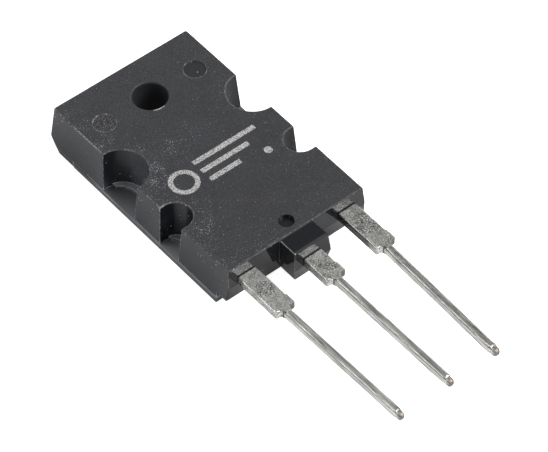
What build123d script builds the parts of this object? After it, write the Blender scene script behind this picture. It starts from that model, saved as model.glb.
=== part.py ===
"""Power transistor in a three-lead moulded package with an exposed metal back.

The origin is the centre of the mounting hole on the back face, +Z points out of
the marked front face, +Y towards the hole end and -Y along the leads.
"""

import os
from math import radians, tan

from build123d import *

os.makedirs("parts", exist_ok=True)

# Moulded body
body_height = 4.8
body_top_width = 14.6
hole_end_margin = 4.15  # hole centre to the hole end, on the front face
lead_end_margin = 19.65  # hole centre to the lead end, on the front face
side_draft = 4.2
end_draft = 6.5
hole_end_corner = 0.2
lead_end_corner = 0.12
edge_break = 0.06  # worn edge of the front face
shoulder_height = 1.25  # where the hole end starts to slope under
shoulder_radius = 0.45
undercut_depth = 1.1  # how far that slope comes in at the back
parting_height = 2.8  # where the leads leave the mould
lead_end_undercut = 0.2
tail_height = 1.25  # underside of the lead end above the back

# Mounting hole
hole_radius = 1.6
hole_lip = 0.09  # the front rim is broken by this much, at 45 degrees

# Side notches that let the mould hold the header down
big_notch_radius = 2.4
big_notch_y = -5.17
big_notch_inset = 0.06  # centre of the arc inside the front edge
small_notch_radius = 1.48
small_notch_y = -12.05
small_notch_inset = 0.5
notch_draft = 3.4
ledge_height = 0.25
ledge_setback = 0.4
ledge_end_inset = 0.7  # the ledge stops this far inside the front edge

# Ejector pin marks on the front face
top_mark_radius = 1.03
top_mark_spread = 9.9
top_mark_depth = 0.08
tail_mark_radius = 0.7
tail_mark_margin = 1.25
tail_mark_depth = 0.35

# Boss round the centre lead
boss_width = 3.58
boss_length = 2.0
boss_drop = 0.04
boss_draft = 5.8
boss_underside_angle = 12
boss_edge_break = 0.05

# Gate scar on the hole end
gate_width = 2.0
gate_height = 0.5
gate_length = 0.05
gate_x = 1.7

# Header, one stamping of two thicknesses with the collector lead
flange_thickness = 0.65
flange_proud = 0.045  # stands out this far from the foot of each side
flange_end_gap = 1.25  # inside the lead end of the front face
flange_shoulder_y = 1.6
flange_corner_radius = 0.6
header_neck_inset = 2.15  # each side is this much narrower beside the hole
header_end_gap = 0.9  # inside the hole end of the front face
header_hole_gap = 1.0  # epoxy between the screw hole and the metal
pad_side_inset = 3.35
pad_hole_gap = 1.0
pad_thickness = 1.5
pad_end_gap = 0.9  # pad stops this far inside the flange end
neck_width = 2.4
neck_run = 1.7  # length over which the neck climbs to the lead
neck_bend_radius = 0.45  # on top of the strap
lead_overlap = 0.85  # the lead's start lies this far inside the strap's end

# Leads
lead_pitch = 5.45
lead_thickness = 0.8
lead_shoulder_width = 1.8
lead_shoulder_length = 5.1  # from the front edge of the body
dambar_stub = 0.1  # left on one side only, the other is cut flush
dambar_length = 1.0
pin_width = 0.52
pin_thickness = 0.7
pin_fillet = 0.4
neck_length = 0.42  # over which the shoulder narrows to the pin
pin_corner = 0.12
pin_length = 14.6  # from the shoulder to the tip
tip_length = 1.0
tip_width = 0.3
tip_thickness = 0.42
lead_edge_radius = 0.06
base_pin_bend = 0.22  # sideways drift of each pin at its tip
collector_pin_bend = 0.08
emitter_pin_bend = -0.45

# Bond posts, the inner ends of the two outer leads
post_width = 2.7
post_length = 2.2
post_start_gap = 3.25  # free end of the post, inside the lead end of the front face
lock_hole_radius = 0.45
lock_hole_margin = 0.15
post_bond_inset = 0.75  # wire foot inside the free end of the post

# Die and wiring
die_size = 6.2
die_thickness = 0.25
solder_thickness = 0.06
solder_margin = 0.15
base_wire_radius = 0.13
emitter_wire_radius = 0.19
emitter_wire_gap = 1.1
wire_sides = 8  # sealed inside, so near enough to round
base_bond_x = -1.6
emitter_bond_x = 1.2
bond_offset = 1.2  # bonds lie this far from the middle of the die, towards the leads
wire_rise = 0.35  # middle of each wire above the posts
foot_length = 0.9
foot_spread_ratio = 2.5  # width of a flattened foot in wire radii

# Worked out from the values above
end_taper = tan(radians(end_draft))
flank_height = body_height - flange_thickness
foot_spread = flank_height * tan(radians(side_draft))
top_half_width = body_top_width / 2
foot_half_width = top_half_width + foot_spread
big_notch_x = top_half_width - big_notch_inset
small_notch_x = top_half_width - small_notch_inset
lead_bottom = parting_height
lead_top = parting_height + lead_thickness
hole_end_at_shoulder = hole_end_margin + (body_height - shoulder_height) * end_taper
lead_end_at_parting = -lead_end_margin - (body_height - parting_height) * end_taper
die_base = pad_thickness + solder_thickness
die_top = die_base + die_thickness
flange_width = body_top_width + 2 * (foot_spread + flange_proud)
flange_end_y = flange_end_gap - lead_end_margin
header_neck_width = flange_width - 2 * header_neck_inset
header_end_y = hole_end_margin - header_end_gap
header_hole_radius = hole_radius + header_hole_gap
pad_width = flange_width - 2 * pad_side_inset
pad_start_y = -header_hole_radius - pad_hole_gap
pad_end_y = flange_end_y + pad_end_gap
strap_end_y = pad_end_y - 2 * neck_run
lead_shoulder_end_y = -lead_end_margin - lead_shoulder_length
pin_tip_y = lead_shoulder_end_y - pin_length
post_start_y = post_start_gap - lead_end_margin
post_bond_y = post_start_y - post_bond_inset
die_y = (pad_start_y + pad_end_y) / 2
bond_y = die_y - bond_offset
wire_loop_height = lead_top + wire_rise
cut_reach = 2 * body_top_width  # longer than any cut needs


def lead(x, start_y, bend):
    """Lead from inside the body to its tip: flat shoulder, stamped neck, pin, tapered tip."""
    middle = lead_bottom + lead_thickness / 2
    root_y = lead_shoulder_end_y - neck_length
    drift = Vector(bend, pin_tip_y - root_y, 0)
    along_pin = Plane(origin=(x, root_y, middle), x_dir=(0, 0, 1), z_dir=drift)
    straight = drift.length - tip_length
    with BuildPart(mode=Mode.PRIVATE) as piece:
        with BuildSketch(Plane.XY.offset(lead_bottom)):
            with Locations((x, start_y)):
                Rectangle(lead_shoulder_width, start_y - lead_shoulder_end_y, align=(Align.CENTER, Align.MAX))
            with Locations((x, lead_shoulder_end_y)):
                Rectangle(lead_shoulder_width / 2 + dambar_stub, dambar_length, align=(Align.MIN, Align.MIN))
        extrude(amount=lead_thickness)
        fillet(edges().filter_by(Axis.Y).group_by(Axis.Z)[-1], lead_edge_radius)
        with BuildSketch(Plane.XY.offset(lead_bottom)) as neck:
            with Locations((x, lead_shoulder_end_y)):
                Rectangle(lead_shoulder_width - 2 * dambar_stub, dambar_length, align=(Align.CENTER, Align.MIN))
                Rectangle(pin_width, neck_length, align=(Align.CENTER, Align.MAX))
            fillet(neck.vertices().group_by(Axis.Y)[1].sort_by(Axis.X)[1:-1], pin_fillet)
        extrude(amount=lead_thickness)
        with BuildSketch(along_pin):
            RectangleRounded(pin_thickness, pin_width, pin_corner)
        extrude(amount=straight)
        with BuildSketch(along_pin.offset(straight)):
            RectangleRounded(pin_thickness, pin_width, pin_corner)
        with BuildSketch(along_pin.offset(straight + tip_length)):
            RectangleRounded(tip_thickness, tip_width, pin_corner)
        loft()
    return piece.part


def outer_lead(x, bend):
    """Base or emitter lead with its bond post, a wide paddle held in the body."""
    with BuildPart(mode=Mode.PRIVATE) as piece:
        add(lead(x, post_start_y - post_length, bend))
        with BuildSketch(Plane.XY.offset(lead_bottom)):
            with Locations((x, post_start_y)):
                Rectangle(post_width, post_length, align=(Align.CENTER, Align.MAX))
            with Locations((x, post_start_y - post_length + lock_hole_radius + lock_hole_margin)):
                Circle(lock_hole_radius, mode=Mode.SUBTRACT)
        extrude(amount=lead_thickness)
    return piece.part


def bond_wire(start, end, radius):
    """Wire in one arc between two flattened bond feet."""
    heading = Vector(end[0] - start[0], end[1] - start[1], 0)
    middle = (Vector(start) + Vector(end)) / 2
    lift = Vector(0, 0, radius)
    with BuildPart(mode=Mode.PRIVATE) as wire:
        with BuildLine() as route:
            ThreePointArc(Vector(start) + lift, Vector(middle.X, middle.Y, wire_loop_height), Vector(end) + lift)
        with BuildSketch(route.line ^ 0):
            RegularPolygon(radius, wire_sides)
        sweep()
        for foot in (start, end):
            with BuildSketch(Plane(origin=foot, x_dir=heading)):
                Rectangle(foot_length, foot_spread_ratio * radius)
            extrude(amount=radius)
    return wire.part


def notch(x, y, radius, side, straight_mouth=False):
    """Drafted round bite out of the side of the body, with a straight mouth where it sits inside."""
    with BuildPart(mode=Mode.PRIVATE) as cutter:
        with BuildSketch(Plane.XY.offset(body_height)):
            with Locations((side * x, y)):
                Circle(radius)
            if straight_mouth:
                with Locations((side * (x + radius), y)):
                    Rectangle(2 * radius, 2 * radius)
        extrude(amount=-flank_height, taper=notch_draft)
    return cutter.part


def notch_ledge(x, y, radius, side):
    """Low step left at the foot of a notch, set back from a smaller arc."""
    floor_radius = radius - flank_height * tan(radians(notch_draft))
    inner_x = side * (top_half_width - ledge_end_inset)
    with BuildPart(mode=Mode.PRIVATE) as ledge:
        with BuildSketch(Plane.XY.offset(flange_thickness)):
            with Locations((side * x, y)):
                Circle(floor_radius + ledge_setback)
            with Locations((side * (x + ledge_setback), y)):
                Circle(floor_radius - ledge_setback / 2, mode=Mode.SUBTRACT)
            with Locations((inner_x + side * cut_reach / 2, y)):
                Rectangle(cut_reach, cut_reach, mode=Mode.SUBTRACT)
        extrude(amount=ledge_height)
    return ledge.part


# Header: thin flange, thick pad under the die, and the neck that climbs to the
# collector lead
with BuildPart() as header:
    with BuildSketch() as flange:
        with Locations((0, flange_end_y)):
            Rectangle(flange_width, flange_shoulder_y - flange_end_y, align=(Align.CENTER, Align.MIN))
            Rectangle(header_neck_width, header_end_y - flange_end_y, align=(Align.CENTER, Align.MIN))
        fillet(flange.vertices().sort_by(Axis.Y)[2:], flange_corner_radius)
        Circle(header_hole_radius, mode=Mode.SUBTRACT)
    extrude(amount=flange_thickness)
    with BuildSketch():
        with Locations((0, pad_end_y)):
            Rectangle(pad_width, pad_start_y - pad_end_y, align=(Align.CENTER, Align.MIN))
    extrude(amount=pad_thickness)
    with BuildSketch(Plane.YZ):
        with BuildLine() as strap:
            FilletPolyline(
                (pad_end_y + neck_run, pad_thickness),
                (pad_end_y, pad_thickness),
                (pad_end_y - neck_run, lead_top),
                (strap_end_y, lead_top),
                radius=neck_bend_radius,
            )
            offset(amount=lead_thickness, side=Side.LEFT)
        make_face()
    extrude(amount=neck_width / 2, both=True)
    add(lead(0, strap_end_y + lead_overlap, collector_pin_bend))

with BuildPart() as base_lead:
    add(outer_lead(-lead_pitch, base_pin_bend))

with BuildPart() as emitter_lead:
    add(outer_lead(lead_pitch, emitter_pin_bend))

with BuildPart() as die_solder:
    with BuildSketch(Plane.XY.offset(pad_thickness)):
        with Locations((0, die_y)):
            Rectangle(die_size + 2 * solder_margin, die_size + 2 * solder_margin)
    extrude(amount=solder_thickness)

with BuildPart() as silicon_die:
    with BuildSketch(Plane.XY.offset(die_base)):
        with Locations((0, die_y)):
            Rectangle(die_size, die_size)
    extrude(amount=die_thickness)

with BuildPart() as base_wire:
    add(bond_wire((base_bond_x, bond_y, die_top), (-lead_pitch, post_bond_y, lead_top), base_wire_radius))

emitter_wires = []
for number, offset_x in enumerate((0, emitter_wire_gap), start=1):
    start = (emitter_bond_x + offset_x, bond_y, die_top)
    end = (lead_pitch + offset_x - emitter_wire_gap / 2, post_bond_y, lead_top)
    with BuildPart() as emitter_wire:
        add(bond_wire(start, end, emitter_wire_radius))
    emitter_wire.part.label = f"emitter_wire_{number}"
    emitter_wires.append(emitter_wire)

# The moulded body: the side view of the block, cut to its drafted cross-section
with BuildPart() as moulded_body:
    with BuildSketch(Plane.YZ):
        with BuildLine():
            Polyline(
                (-lead_end_margin, body_height),
                (hole_end_margin, body_height),
                (hole_end_at_shoulder, shoulder_height),  # the hole end slopes under from here
                (hole_end_at_shoulder - undercut_depth, 0),
                (flange_end_y, 0),
                (flange_end_y, tail_height),  # the lead end is open under its tail
                (lead_end_at_parting + lead_end_undercut, tail_height),
                (lead_end_at_parting, parting_height),
                close=True,
            )
        make_face()
    extrude(amount=cut_reach / 2, both=True)
    with BuildSketch(Plane.XZ) as section:
        with BuildLine():
            Polyline(
                (top_half_width, body_height),
                (foot_half_width, flange_thickness),
                (foot_half_width, 0),
                (-foot_half_width, 0),
                (-foot_half_width, flange_thickness),
                (-top_half_width, body_height),
                close=True,
            )
        make_face()
    extrude(amount=cut_reach, both=True, mode=Mode.INTERSECT)
    hole_end_face = faces().sort_by(Axis.Y)[-1]
    fillet(hole_end_face.edges().filter_by(Axis.X).sort_by(Axis.Z)[0], shoulder_radius)
    hole_end_face = faces().sort_by(Axis.Y)[-1]
    fillet(hole_end_face.edges().filter_by(Axis.X, reverse=True), hole_end_corner)
    lead_end_face = faces().sort_by(Axis.Y)[0]
    fillet(lead_end_face.edges().filter_by(Axis.X, reverse=True), lead_end_corner)

    for side in (-1, 1):
        add(notch(big_notch_x, big_notch_y, big_notch_radius, side), mode=Mode.SUBTRACT)
        add(notch(small_notch_x, small_notch_y, small_notch_radius, side, True), mode=Mode.SUBTRACT)
    chamfer(faces().filter_by(Plane.XY).sort_by(Axis.Z)[-1].edges(), edge_break)

    # Boss round the centre lead, drafted both ways from the parting line
    boss_spread = (body_height - parting_height) * tan(radians(boss_draft))
    boss_front = -lead_end_margin - boss_length - boss_spread
    with BuildSketch(Plane.XY.offset(parting_height)):
        with Locations((0, (flange_end_y + boss_front) / 2)):
            Rectangle(boss_width + 2 * boss_spread, flange_end_y - boss_front)
    extrude(amount=body_height - boss_drop - parting_height, taper=boss_draft)
    boss_top = faces().filter_by(Plane.XY).filter_by(lambda f: f.center().Y < -lead_end_margin).sort_by(Axis.Z)[-1]
    chamfer(boss_top.edges().sort_by(Axis.Y)[:-1], boss_edge_break)
    with BuildSketch(Plane.XY.offset(parting_height)):
        with Locations((0, (flange_end_y + boss_front) / 2)):
            Rectangle(boss_width + 2 * boss_spread, flange_end_y - boss_front)
    extrude(amount=tail_height - parting_height, taper=boss_underside_angle)

    for side in (-1, 1):
        add(notch_ledge(big_notch_x, big_notch_y, big_notch_radius, side))
        add(notch_ledge(small_notch_x, small_notch_y, small_notch_radius, side))

    # Gate scar on the hole end, then the ejector pin marks and the hole
    with Locations((gate_x, hole_end_margin, body_height - gate_height)):
        Box(gate_width, 2 * gate_length, gate_height, align=(Align.CENTER, Align.CENTER, Align.MAX))
    with Locations((0, 0, body_height)):
        with GridLocations(top_mark_spread, 0, 2, 1):
            Hole(top_mark_radius, depth=top_mark_depth)
    with Locations((0, tail_mark_margin - lead_end_margin, body_height)):
        Hole(tail_mark_radius, depth=tail_mark_depth)
    with Locations((0, 0, body_height)):
        CounterSinkHole(hole_radius, hole_radius + hole_lip, counter_sink_angle=90)

    # The epoxy flows round everything that it holds
    for piece in (header, base_lead, emitter_lead, die_solder, silicon_die, base_wire, *emitter_wires):
        add(piece.part, mode=Mode.SUBTRACT)

moulded_body.part.label = "moulded_body"
header.part.label = "header"
base_lead.part.label = "base_lead"
emitter_lead.part.label = "emitter_lead"
die_solder.part.label = "die_solder"
silicon_die.part.label = "silicon_die"
base_wire.part.label = "base_wire"

export_step(moulded_body.part, "parts/moulded_body.step")
export_step(header.part, "parts/header.step")
export_step(base_lead.part, "parts/base_lead.step")
export_step(emitter_lead.part, "parts/emitter_lead.step")
export_step(die_solder.part, "parts/die_solder.step")
export_step(silicon_die.part, "parts/silicon_die.step")
export_step(base_wire.part, "parts/base_wire.step")
for wire in emitter_wires:
    export_step(wire.part, f"parts/{wire.part.label}.step")
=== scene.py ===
from math import cos, radians, sin

import bpy
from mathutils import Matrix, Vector


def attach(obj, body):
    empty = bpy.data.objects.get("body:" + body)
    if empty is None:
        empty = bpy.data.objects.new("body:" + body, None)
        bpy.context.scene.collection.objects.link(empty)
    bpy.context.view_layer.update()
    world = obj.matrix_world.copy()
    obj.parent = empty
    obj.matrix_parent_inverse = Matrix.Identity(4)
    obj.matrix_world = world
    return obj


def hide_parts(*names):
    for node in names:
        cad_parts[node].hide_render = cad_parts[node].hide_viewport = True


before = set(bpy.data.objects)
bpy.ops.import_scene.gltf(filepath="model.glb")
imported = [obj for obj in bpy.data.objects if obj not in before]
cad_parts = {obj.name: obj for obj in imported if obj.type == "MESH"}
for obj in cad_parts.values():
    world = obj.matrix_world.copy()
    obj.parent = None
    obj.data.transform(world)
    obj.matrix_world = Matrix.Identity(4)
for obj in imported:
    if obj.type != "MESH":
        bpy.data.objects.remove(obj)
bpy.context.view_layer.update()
mm = 0.001
perMm = 1000  # object coordinates are in metres, patterns are sized in millimetres
print("frame loaded")


def addNode(tree, kind, inputs=(), **settings):
    # inputs are values, nodes or (node, output name) pairs, in socket order or by socket name
    made = tree.nodes.new("ShaderNode" + kind)
    for name, value in settings.items():
        setattr(made, name, value)
    live = [socket for socket in made.inputs if socket.enabled]
    given = inputs.items() if isinstance(inputs, dict) else enumerate(inputs)
    for key, value in given:
        socket = live[key] if isinstance(key, int) else next(s for s in live if s.name == key)
        pair = value if isinstance(value, tuple) else (value, None)
        if isinstance(pair[0], bpy.types.Node):
            chosen = next(s for s in pair[0].outputs if s.enabled and pair[1] in (None, s.name))
            tree.links.new(chosen, socket)
        else:
            socket.default_value = value
    return made


def colour(hexValue):
    # sRGB hex to the linear values that Blender's sockets hold
    parts = [int(hexValue[i:i + 2], 16) / 255 for i in (1, 3, 5)]
    return [p / 12.92 if p <= 0.04045 else ((p + 0.055) / 1.055) ** 2.4 for p in parts] + [1]


def newMaterial(name):
    made = bpy.data.materials.new(name)
    made.use_nodes = True
    made.node_tree.nodes.clear()
    return made, made.node_tree


# Camera
view = {
    "azimuth": -39.6,
    "elevation": 49.46,
    "distance": 300 * mm,
    "aim": (1.449 * mm, -15.019 * mm, 0),
    "lens": 231.2,
    "sensor": 36,
    "nearest": 10 * mm,
}
azimuth, elevation = radians(view["azimuth"]), radians(view["elevation"])
towardsCamera = Vector((sin(azimuth) * cos(elevation), -cos(azimuth) * cos(elevation), sin(elevation)))
cameraData = bpy.data.cameras.new("camera")
cameraData.lens = view["lens"]
cameraData.sensor_width = view["sensor"]
cameraData.clip_start = view["nearest"]
camera = bpy.data.objects.new("camera", cameraData)
bpy.context.scene.collection.objects.link(camera)
camera.location = Vector(view["aim"]) + towardsCamera * view["distance"]
camera.rotation_euler = (-towardsCamera).to_track_quat("-Z", "Y").to_euler()
bpy.context.scene.camera = camera
bpy.context.scene.view_settings.view_transform = "Standard"
print("camera set")

# Studio: a white floor that vanishes from below, a pale horizon under a darker ceiling, soft lamps
studio = {
    "floorSize": 3,
    "floorDrop": 0.05 * mm,
    "floorPaper": "#dfdfdf",
    "floorGlow": 0.92,  # for the camera alone, so that the sweep stays white
    "mirroredGlow": 0.14,
    "skyLight": 0.28,
    "horizonShine": 1.0,
    "horizonTo": 0.15,  # sine of the height above it, as is the ceiling's
    "ceilingShine": 0.26,
    "ceilingFrom": 0.72,
    "lampsAim": (0, -15 * mm, 0),
    "lamps": {
        "key": {"at": (-0.14, 0.10, 0.58), "size": 0.26, "power": 0.3},
        "front": {"at": (0.25, -0.35, 0.43), "size": 0.28, "power": 3.4},
        "right": {"at": (0.52, -0.08, 0.33), "size": 0.24, "power": 1.1},
        "back": {"at": (-0.46, 0.30, 0.26), "size": 0.22, "power": 0.5},
    },
}


def mirrorRays(tree, rays):
    # metal and gloss show the bright studio too, and not only the camera
    return addNode(
        tree, "Math", [(rays, "Is Glossy Ray"), (rays, "Is Transmission Ray")], operation="MAXIMUM"
    )


bpy.ops.object.select_all(action="DESELECT")
bpy.ops.mesh.primitive_plane_add(size=studio["floorSize"], location=(0, 0, -studio["floorDrop"]))
floor = bpy.context.object
floor.name = "floor"
floorMaterial, tree = newMaterial("white_sweep")
rays = addNode(tree, "LightPath")
mirrored = addNode(tree, "Math", [mirrorRays(tree, rays), studio["mirroredGlow"]], operation="MULTIPLY")
glow = addNode(
    tree, "Math", [(rays, "Is Camera Ray"), studio["floorGlow"], mirrored], operation="MULTIPLY_ADD"
)
shine = addNode(tree, "Emission", {"Color": (1, 1, 1, 1), "Strength": glow})
paper = addNode(tree, "BsdfDiffuse", {"Color": colour(studio["floorPaper"])})
both = addNode(tree, "AddShader", [shine, paper])
clear = addNode(tree, "BsdfTransparent")
side = addNode(tree, "NewGeometry")
oneSided = addNode(tree, "MixShader", [(side, "Backfacing"), both, clear])
addNode(tree, "OutputMaterial", {"Surface": oneSided})
floor.data.materials.append(floorMaterial)

world = bpy.data.worlds.new("studio")
bpy.context.scene.world = world
world.use_nodes = True
tree = world.node_tree
tree.nodes.clear()
rays = addNode(tree, "LightPath")
direction = addNode(tree, "TexCoord")
height = addNode(tree, "SeparateXYZ", [(direction, "Generated")])
shineLevel = addNode(tree, "MapRange", {
    "Value": (height, "Z"),
    "From Min": studio["horizonTo"],
    "From Max": studio["ceilingFrom"],
    "To Min": studio["horizonShine"],
    "To Max": studio["ceilingShine"],
})
lit = addNode(tree, "Mix", [mirrorRays(tree, rays), studio["skyLight"], shineLevel])
seen = addNode(tree, "Mix", [(rays, "Is Camera Ray"), lit, 1.0])
sky = addNode(tree, "Background", {"Color": (1, 1, 1, 1), "Strength": seen})
addNode(tree, "OutputWorld", {"Surface": sky})

for name, lamp in studio["lamps"].items():
    data = bpy.data.lights.new(name, "AREA")
    data.size = lamp["size"]
    data.energy = lamp["power"]
    made = bpy.data.objects.new(name, data)
    bpy.context.scene.collection.objects.link(made)
    made.location = lamp["at"]
    aim = Vector(studio["lampsAim"]) - Vector(lamp["at"])
    made.rotation_euler = aim.to_track_quat("-Z", "Y").to_euler()
print("studio lit")


# The leads and the header leave their hot tin bath with softened edges and a wavy skin
tinned = {
    "weld": 0.001 * mm,
    "voxel": 0.045 * mm,
    "soften": 3,
    "softenBy": 0.5,
    "skins": [
        {"name": "tinWaves", "size": 0.5 * mm, "detail": 2, "depth": 0.035 * mm},
        {"name": "tinRipples", "size": 0.16 * mm, "detail": 1, "depth": 0.018 * mm},
    ],
    "plateEdge": 0.07 * mm,
    "plateEdgeAngle": 40,  # degrees, the least that is softened
    "plateSmoothAngle": 30,
    "coats": {"base_lead": 0.06 * mm, "header": 0.065 * mm, "emitter_lead": 0.085 * mm},
    "pinCoat": 0.03 * mm,  # the pins take up more tin than the shoulders
    "pinFrom": -24.95 * mm,
    "joinY": -21.2 * mm,  # inside the boss, where the fine lead meets the coarse plate
    "tipCut": -38.1 * mm,
    "tipFacing": -0.99,  # y of the cut face's normal
    "tipSteps": [  # where each step of the blunt tip ends, and its taper
        (-38.68 * mm, 1.0),
        (-38.8 * mm, 0.83),
        (-39.22 * mm, 0.93),
        (-39.33 * mm, 0.7),
    ],
}
for skin in tinned["skins"]:
    texture = bpy.data.textures.new(skin["name"], "CLOUDS")
    texture.noise_scale = skin["size"]
    texture.noise_depth = skin["detail"]


def selectOnly(piece):
    bpy.ops.object.select_all(action="DESELECT")
    piece.select_set(True)
    bpy.context.view_layer.objects.active = piece


def copyNode(nodeName, pieceName):
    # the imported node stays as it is, and the copy becomes a closed mesh of its own
    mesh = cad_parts[nodeName].data.copy()
    mesh.materials.clear()
    piece = bpy.data.objects.new(pieceName, mesh)
    bpy.context.scene.collection.objects.link(piece)
    selectOnly(piece)
    bpy.ops.object.mode_set(mode="EDIT")
    bpy.ops.mesh.select_all(action="SELECT")
    bpy.ops.mesh.remove_doubles(threshold=tinned["weld"])
    bpy.ops.object.mode_set(mode="OBJECT")
    return piece


def keepBeyond(piece, y, beyond):
    # beyond keeps the lead tips' side of the plane at y, and otherwise the body's side stays
    selectOnly(piece)
    bpy.ops.object.mode_set(mode="EDIT")
    bpy.ops.mesh.select_all(action="SELECT")
    bpy.ops.mesh.bisect(
        plane_co=(0, y, 0), plane_no=(0, 1, 0), use_fill=True, clear_inner=not beyond, clear_outer=beyond
    )
    bpy.ops.object.mode_set(mode="OBJECT")


def addModifier(piece, kind, **settings):
    selectOnly(piece)
    bpy.ops.object.modifier_add(type=kind)
    modifier = piece.modifiers[-1]
    for name, value in settings.items():
        setattr(modifier, name, value)
    bpy.ops.object.modifier_apply(modifier=modifier.name)


def bluntTip(piece, coat):
    # the tip is cut back and drawn out again in steps, each short by the coat that is still to come
    keepBeyond(piece, tinned["tipCut"], False)
    for end, taper in tinned["tipSteps"]:
        low = min(v.co.y for v in piece.data.vertices)
        length = low - end - coat
        for face in piece.data.polygons:
            atEnd = abs(face.center.y - low) < tinned["weld"]
            face.select = atEnd and face.normal.y < tinned["tipFacing"]
        bpy.ops.object.mode_set(mode="EDIT")
        bpy.ops.mesh.extrude_region_move(TRANSFORM_OT_translate={"value": (0, -length, 0)})
        bpy.ops.transform.resize(value=(taper, 1, taper))
        bpy.ops.object.mode_set(mode="OBJECT")


def tinLead(piece, nodeName):
    coat = tinned["coats"][nodeName]
    bluntTip(piece, coat + tinned["pinCoat"])
    addModifier(piece, "REMESH", mode="VOXEL", voxel_size=tinned["voxel"])
    addModifier(piece, "SMOOTH", factor=tinned["softenBy"], iterations=tinned["soften"])
    addModifier(piece, "DISPLACE", strength=coat, mid_level=0)
    pin = piece.vertex_groups.new(name="pin")
    pin.add([v.index for v in piece.data.vertices if v.co.y < tinned["pinFrom"]], 1, "REPLACE")
    addModifier(piece, "DISPLACE", strength=tinned["pinCoat"], mid_level=0, vertex_group="pin")
    piece.vertex_groups.clear()
    for skin in tinned["skins"]:
        texture = bpy.data.textures[skin["name"]]
        addModifier(piece, "DISPLACE", texture=texture, strength=skin["depth"], mid_level=0.5)
    bpy.ops.object.shade_smooth()


baseLead = copyNode("base_lead", "tinned_base_lead")
tinLead(baseLead, "base_lead")
emitterLead = copyNode("emitter_lead", "tinned_emitter_lead")
tinLead(emitterLead, "emitter_lead")
collectorLead = copyNode("header", "tinned_collector_lead")
keepBeyond(collectorLead, tinned["joinY"], True)
tinLead(collectorLead, "header")
header = copyNode("header", "tinned_header")
keepBeyond(header, tinned["joinY"], False)
addModifier(
    header, "BEVEL", width=tinned["plateEdge"], segments=2, limit_method="ANGLE",
    angle_limit=radians(tinned["plateEdgeAngle"]),
)
bpy.ops.object.shade_smooth_by_angle(angle=radians(tinned["plateSmoothAngle"]))
collectorLead.select_set(True)
bpy.ops.object.join()
for piece, nodeName in ((baseLead, "base_lead"), (emitterLead, "emitter_lead"), (header, "header")):
    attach(piece, "root")
    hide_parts(nodeName)
print("leads tinned")


def millimetres(tree):
    place = addNode(tree, "TexCoord")
    return place, addNode(tree, "Mapping", {"Vector": (place, "Object"), "Scale": (perMm, perMm, perMm)})


def findZones(tree):
    # where a point is in millimetres, the same from above, and which way its face looks
    place, point = millimetres(tree)
    return {
        "place": place,
        "point": point,
        "xyz": addNode(tree, "SeparateXYZ", [point]),
        "flat": addNode(tree, "VectorMath", [point, (1, 1, 0)], operation="MULTIPLY"),
        "facing": addNode(tree, "SeparateXYZ", [(place, "Normal")]),
    }


# Epoxy moulding compound, transfer moulded: fine matte grain on the front from the eroded
# cavity, smooth drafted sides, and pale broken lines along the edges, partly rubbed wear and partly painted
# highlight
epoxyLook = {
    "front": "#38393e",
    "frontDark": "#17181a",
    "smooth": "#181b21",
    "smoothDark": "#0d0e10",
    "dust": "#a6a7ab",
    "tintAndLight": "#545964",  # a paler tint low on the sides, and painted light on the lit wall of the big notch
    # pale edge lines: rubbed wear and painted highlight
    "rubAndHighlight": "#d2d3d5",
    "ink": "#b9b9b8",
    # painted highlight on the notch ledges
    "ledge": "#85878a",
    "ior": 1.55,
    "frontRoughness": 0.6,
    "sideRoughness": 0.26,
    "endRoughness": 0.06,
    "shadedRoughness": 0.75,  # the screw hole, the right-hand notches and the boss's front lip
    "rubRoughness": 0.25,  # more of it along the edges
    "grain": 11,  # per mm, coarser than the real 30 so that it shows
    "speck": 3,  # cells per mm, few of them hold a speck
    "speckReach": (0.25, 0.13),  # of a cell, on the sides and on the front
    "speckSharpness": 18.0,
    "clouds": 0.3,  # per mm, as are the scuffed patches and the breaks in the rubbed edges
    "patches": 0.6,
    "breaks": 3,
    "cloudContrast": 0.7,
    "grainContrast": 3.0,
    "scuffTone": 0.12,
    "toneOffset": 1.5,
    "dustFrom": 0.73,  # of the grain, and less of it where handled
    "scuffDust": -0.17,
    "dustSharpness": 12.0,
    "scuffCore": 0.3,  # of a patch's radius, within which it is full
    "wallLight": 0.3,  # painted light on the lit matte wall of the big notch
    "holeWearAndHighlight": 0.04,
    "lipWearAndHighlight": (1.0, 0.2),  # of other edges' pale lines, rubbed wear and painted highlight, off the boss's front lip and on it
    "edgeRadius": 0.12 * mm,
    "grainHeight": (0.03, 0.98),  # on the sides and on the front
    "dustHeight": 0.3,
    "bumpStrength": 0.6,
    "bumpDepth": 0.03 * mm,
}
bodyPlaces = {  # in mm
    "faceUp": 0.95,  # z of a normal
    "nearFront": 4.7,
    "endY": -19.67,
    "topEdgeTo": -19.79,
    "polishedFrom": -19.62,
    "halfWidth": 7.3,
    "length": 19.65,  # from the screw hole to the lead end
    "ejectorMark": 4.95,  # to either side of the screw hole
    "markRadius": 1.03,
    "tailMark": (0, -18.4, 0),
    "holeReach": 2.0,
    "bigNotchFrom": -9.0,
    "ledgeBelow": 0.95,
    "plateBelow": 1.0,
    "plateFrom": -0.8,
    "chippedLip": (-0.3, -1.65, 0),
    "dullLip": {"y": -21.45, "x": -1.65, "z": 4.6},
}
knockedEdges = [
    {"at": (-7.35, -0.6, 4.8), "reach": (0.8, 2.2, 0.8)},
    {"at": (-7.2, -10.95, 4.8), "reach": (0.7, 0.9, 0.6)},
]
markings = {
    "ring": {"at": (-3.9, -9.6, 0), "radius": 1.15, "stroke": 0.46},
    "bars": [  # middle and half size
        {"at": (1.35, -8.45), "half": (3.35, 0.25)},
        {"at": (0.55, -9.6), "half": (2.55, 0.25)},
        {"at": (-0.35, -10.75), "half": (1.65, 0.25)},
    ],
    "dot": {"at": (3.9, -11.3, 0), "radius": 0.38},
}
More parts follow.
